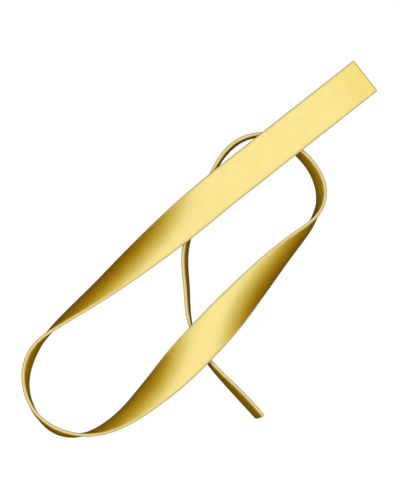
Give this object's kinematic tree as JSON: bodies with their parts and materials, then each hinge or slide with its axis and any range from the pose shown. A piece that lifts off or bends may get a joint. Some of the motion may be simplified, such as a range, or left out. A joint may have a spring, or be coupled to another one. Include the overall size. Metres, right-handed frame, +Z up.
{
  "type": "wind-on saxophone ligature strap",
  "caption": "Flat gold strap laid in a loose twisted loop; it winds round a mouthpiece and holds the reed down.",
  "frame": {"origin": "centre of the strap's outline in plan, on the table that it lies on", "axes": "+Z up from the table; +Y in plan towards the strap's long free end; +X to the right of it"},
  "size_m": [0.0917, 0.0972, 0.0122],
  "materials": {
    "gold_strap": "satin"
  },
  "bodies": {
    "loop": {"twist_span": "gold_strap", "lower_bend": "gold_strap", "face_span": "gold_strap", "right_bend": "gold_strap", "under_span": "gold_strap"},
    "long_end": {"long_span": "gold_strap"},
    "tab": {"end_tab": "gold_strap"},
    "tail": {"tail_span": "gold_strap"},
    "tail_end": {"tail_tip": "gold_strap"}
  },
  "joints": [
    {"name": "long_end_lift", "type": "hinge", "parent": "loop", "child": "long_end", "pos_m": [0.006, 0.0156, 0.01079], "axis": [0.6258, -0.78, 0], "range_deg": [0, 25], "stiffness_Nm_per_rad": 0.004},
    {"name": "tab_flex", "type": "hinge", "parent": "long_end", "child": "tab", "pos_m": [0.03, 0.0345, 0.01079], "axis": [0.6178, -0.7863, 0], "range_deg": [-10, 25], "stiffness_Nm_per_rad": 0.004},
    {"name": "tail_swing", "type": "hinge", "parent": "loop", "child": "tail", "pos_m": [-0.00344, -0.00123, 0.00502], "axis": [0, 0, 1], "range_deg": [-8, 8], "stiffness_Nm_per_rad": 0.004},
    {"name": "tail_end_swing", "type": "hinge", "parent": "tail", "child": "tail_end", "pos_m": [0.00427, -0.0312, 0.00502], "axis": [0, 0, 1], "range_deg": [-12, 12], "stiffness_Nm_per_rad": 0.004}
  ]
}
